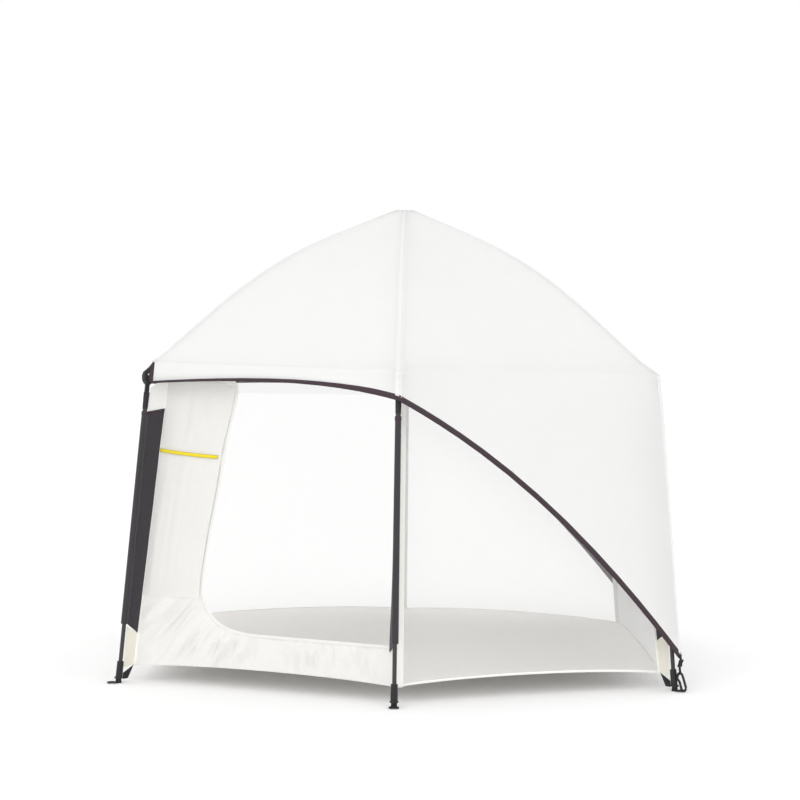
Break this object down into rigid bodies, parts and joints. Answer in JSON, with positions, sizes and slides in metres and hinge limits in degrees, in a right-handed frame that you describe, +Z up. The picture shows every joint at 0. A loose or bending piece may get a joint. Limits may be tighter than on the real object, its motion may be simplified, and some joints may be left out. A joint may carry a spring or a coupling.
{
  "type": "screen house",
  "caption": "Hexagonal pop-up screen house: hub and bent roof ribs, eave elbows, telescoping legs, white fly with a side wall, mesh walls, tied-back door and floor",
  "frame": {"origin": "centre of the ground under the hub, on the plane of the six feet", "axes": "+X to the side wall that the fly covers, +Z up, -Y from the hub to the front leg beside the doorway"},
  "size_m": [2.6665, 3.4182, 2.3066],
  "materials": {
    "coated_steel": "satin",
    "black_plastic": "satin",
    "bright_steel": "satin",
    "white_fly_fabric": "matte",
    "mesh_fabric": "matte",
    "door_fabric": "matte",
    "floor_fabric": "matte",
    "sleeve_fabric": "matte",
    "yellow_webbing": "matte",
    "black_webbing": "matte"
  },
  "bodies": {
    "hub": {"hub_body": "black_plastic", "fly": "white_fly_fabric", "floor": "floor_fabric"},
    "rib_arm_front": {"rib_front": "coated_steel", "eave_hub_front": "black_plastic"},
    "leg_upper_front": {"leg_bracket_front": "black_plastic", "upper_leg_front": "coated_steel", "sleeve_front": "sleeve_fabric", "wall_front_right": "mesh_fabric"},
    "leg_lower_front": {"lower_leg_front": "coated_steel", "foot_front": "black_plastic"},
    "snap_button_front": {"button_front": "bright_steel"},
    "rib_arm_right_front": {"rib_right_front": "coated_steel", "eave_hub_right_front": "black_plastic"},
    "leg_upper_right_front": {"leg_bracket_right_front": "black_plastic", "upper_leg_right_front": "coated_steel", "sleeve_right_front": "sleeve_fabric", "wall_right": "mesh_fabric", "fly_strap": "black_webbing"},
    "leg_lower_right_front": {"lower_leg_right_front": "coated_steel", "foot_right_front": "black_plastic"},
    "snap_button_right_front": {"button_right_front": "bright_steel"},
    "rib_arm_right_rear": {"rib_right_rear": "coated_steel", "eave_hub_right_rear": "black_plastic"},
    "leg_upper_right_rear": {"leg_bracket_right_rear": "black_plastic", "upper_leg_right_rear": "coated_steel", "sleeve_right_rear": "sleeve_fabric", "wall_rear_right": "mesh_fabric"},
    "leg_lower_right_rear": {"lower_leg_right_rear": "coated_steel", "foot_right_rear": "black_plastic"},
    "snap_button_right_rear": {"button_right_rear": "bright_steel"},
    "rib_arm_rear": {"rib_rear": "coated_steel", "eave_hub_rear": "black_plastic"},
    "leg_upper_rear": {"leg_bracket_rear": "black_plastic", "upper_leg_rear": "coated_steel", "sleeve_rear": "sleeve_fabric", "wall_rear_left": "mesh_fabric"},
    "leg_lower_rear": {"lower_leg_rear": "coated_steel", "foot_rear": "black_plastic"},
    "snap_button_rear": {"button_rear": "bright_steel"},
    "rib_arm_left_rear": {"rib_left_rear": "coated_steel", "eave_hub_left_rear": "black_plastic"},
    "leg_upper_left_rear": {"leg_bracket_left_rear": "black_plastic", "upper_leg_left_rear": "coated_steel", "sleeve_left_rear": "sleeve_fabric", "wall_left": "mesh_fabric"},
    "leg_lower_left_rear": {"lower_leg_left_rear": "coated_steel", "foot_left_rear": "black_plastic"},
    "snap_button_left_rear": {"button_left_rear": "bright_steel"},
    "rib_arm_left_front": {"rib_left_front": "coated_steel", "eave_hub_left_front": "black_plastic"},
    "leg_upper_left_front": {"leg_bracket_left_front": "black_plastic", "upper_leg_left_front": "coated_steel", "sleeve_left_front": "sleeve_fabric", "wall_front_left": "mesh_fabric", "door_panel": "door_fabric", "door_tie": "yellow_webbing"},
    "leg_lower_left_front": {"lower_leg_left_front": "coated_steel", "foot_left_front": "black_plastic"},
    "snap_button_left_front": {"button_left_front": "bright_steel"}
  },
  "joints": [
    {"name": "roof_fold", "type": "hinge", "parent": "hub", "child": "rib_arm_front", "pos_m": [0, -0.07, 2.26456], "axis": [-1, 0, 0], "range_deg": [0, 112], "deforming": ["fly", "floor", "wall_front_left", "wall_front_right", "wall_right", "wall_rear_right", "wall_rear_left", "wall_left", "door_panel", "door_tie", "fly_strap"]},
    {"name": "leg_fold_front", "type": "hinge", "parent": "rib_arm_front", "child": "leg_upper_front", "pos_m": [0, -1.516, 1.3958], "axis": [1, 0, 0], "range_deg": [0, 123.5]},
    {"name": "leg_slide_front", "type": "slide", "parent": "leg_upper_front", "child": "leg_lower_front", "axis": [0, 0.0967, 0.9953], "range_m": [0, 0.45], "deforming": ["sleeve_front", "button_front"]},
    {"name": "button_press_front", "type": "slide", "parent": "leg_lower_front", "child": "snap_button_front", "axis": [-1, 0, 0], "range_m": [0, 0.003], "stiffness_N_per_m": 1500},
    {"name": "rib_fold_right_front", "type": "hinge", "parent": "hub", "child": "rib_arm_right_front", "pos_m": [0.0544, -0.04405, 2.26456], "axis": [-0.6293, -0.7771, 0], "range_deg": [0, 112]},
    {"name": "leg_fold_right_front", "type": "hinge", "parent": "rib_arm_right_front", "child": "leg_upper_right_front", "pos_m": [1.17815, -0.95405, 1.3958], "axis": [0.6293, 0.7771, 0], "range_deg": [0, 123.5]},
    {"name": "leg_slide_right_front", "type": "slide", "parent": "leg_upper_right_front", "child": "leg_lower_right_front", "axis": [-0.0752, 0.0609, 0.9953], "range_m": [0, 0.45], "deforming": ["sleeve_right_front", "button_right_front"]},
    {"name": "button_press_right_front", "type": "slide", "parent": "leg_lower_right_front", "child": "snap_button_right_front", "axis": [-0.6293, -0.7771, 0], "range_m": [0, 0.003], "stiffness_N_per_m": 1500},
    {"name": "rib_fold_right_rear", "type": "hinge", "parent": "hub", "child": "rib_arm_right_rear", "pos_m": [0.0544, 0.04405, 2.26456], "axis": [0.6293, -0.7771, 0], "range_deg": [0, 112]},
    {"name": "leg_fold_right_rear", "type": "hinge", "parent": "rib_arm_right_rear", "child": "leg_upper_right_rear", "pos_m": [1.17815, 0.95405, 1.3958], "axis": [-0.6293, 0.7771, 0], "range_deg": [0, 123.5]},
    {"name": "leg_slide_right_rear", "type": "slide", "parent": "leg_upper_right_rear", "child": "leg_lower_right_rear", "axis": [-0.0752, -0.0609, 0.9953], "range_m": [0, 0.45], "deforming": ["sleeve_right_rear", "button_right_rear"]},
    {"name": "button_press_right_rear", "type": "slide", "parent": "leg_lower_right_rear", "child": "snap_button_right_rear", "axis": [0.6293, -0.7771, 0], "range_m": [0, 0.003], "stiffness_N_per_m": 1500},
    {"name": "rib_fold_rear", "type": "hinge", "parent": "hub", "child": "rib_arm_rear", "pos_m": [0, 0.07, 2.26456], "axis": [1, 0, 0], "range_deg": [0, 112]},
    {"name": "leg_fold_rear", "type": "hinge", "parent": "rib_arm_rear", "child": "leg_upper_rear", "pos_m": [0, 1.516, 1.3958], "axis": [-1, 0, 0], "range_deg": [0, 123.5]},
    {"name": "leg_slide_rear", "type": "slide", "parent": "leg_upper_rear", "child": "leg_lower_rear", "axis": [0, -0.0967, 0.9953], "range_m": [0, 0.45], "deforming": ["sleeve_rear", "button_rear"]},
    {"name": "button_press_rear", "type": "slide", "parent": "leg_lower_rear", "child": "snap_button_rear", "axis": [1, 0, 0], "range_m": [0, 0.003], "stiffness_N_per_m": 1500},
    {"name": "rib_fold_left_rear", "type": "hinge", "parent": "hub", "child": "rib_arm_left_rear", "pos_m": [-0.0544, 0.04405, 2.26456], "axis": [0.6293, 0.7771, 0], "range_deg": [0, 112]},
    {"name": "leg_fold_left_rear", "type": "hinge", "parent": "rib_arm_left_rear", "child": "leg_upper_left_rear", "pos_m": [-1.17815, 0.95405, 1.3958], "axis": [-0.6293, -0.7771, 0], "range_deg": [0, 123.5]},
    {"name": "leg_slide_left_rear", "type": "slide", "parent": "leg_upper_left_rear", "child": "leg_lower_left_rear", "axis": [0.0752, -0.0609, 0.9953], "range_m": [0, 0.45], "deforming": ["sleeve_left_rear", "button_left_rear"]},
    {"name": "button_press_left_rear", "type": "slide", "parent": "leg_lower_left_rear", "child": "snap_button_left_rear", "axis": [0.6293, 0.7771, 0], "range_m": [0, 0.003], "stiffness_N_per_m": 1500},
    {"name": "rib_fold_left_front", "type": "hinge", "parent": "hub", "child": "rib_arm_left_front", "pos_m": [-0.0544, -0.04405, 2.26456], "axis": [-0.6293, 0.7771, 0], "range_deg": [0, 112]},
    {"name": "leg_fold_left_front", "type": "hinge", "parent": "rib_arm_left_front", "child": "leg_upper_left_front", "pos_m": [-1.17815, -0.95405, 1.3958], "axis": [0.6293, -0.7771, 0], "range_deg": [0, 123.5]},
    {"name": "leg_slide_left_front", "type": "slide", "parent": "leg_upper_left_front", "child": "leg_lower_left_front", "axis": [0.0752, 0.0609, 0.9953], "range_m": [0, 0.45], "deforming": ["sleeve_left_front", "button_left_front"]},
    {"name": "button_press_left_front", "type": "slide", "parent": "leg_lower_left_front", "child": "snap_button_left_front", "axis": [-0.6293, 0.7771, 0], "range_m": [0, 0.003], "stiffness_N_per_m": 1500}
  ],
  "couplings": [
    {"joint": "leg_fold_front", "follows": "roof_fold", "ratio": 1.1018},
    {"joint": "rib_fold_right_front", "follows": "roof_fold", "ratio": 1},
    {"joint": "leg_fold_right_front", "follows": "roof_fold", "ratio": 1.1018},
    {"joint": "rib_fold_right_rear", "follows": "roof_fold", "ratio": 1},
    {"joint": "leg_fold_right_rear", "follows": "roof_fold", "ratio": 1.1018},
    {"joint": "rib_fold_rear", "follows": "roof_fold", "ratio": 1},
    {"joint": "leg_fold_rear", "follows": "roof_fold", "ratio": 1.1018},
    {"joint": "rib_fold_left_rear", "follows": "roof_fold", "ratio": 1},
    {"joint": "leg_fold_left_rear", "follows": "roof_fold", "ratio": 1.1018},
    {"joint": "rib_fold_left_front", "follows": "roof_fold", "ratio": 1},
    {"joint": "leg_fold_left_front", "follows": "roof_fold", "ratio": 1.1018}
  ]
}
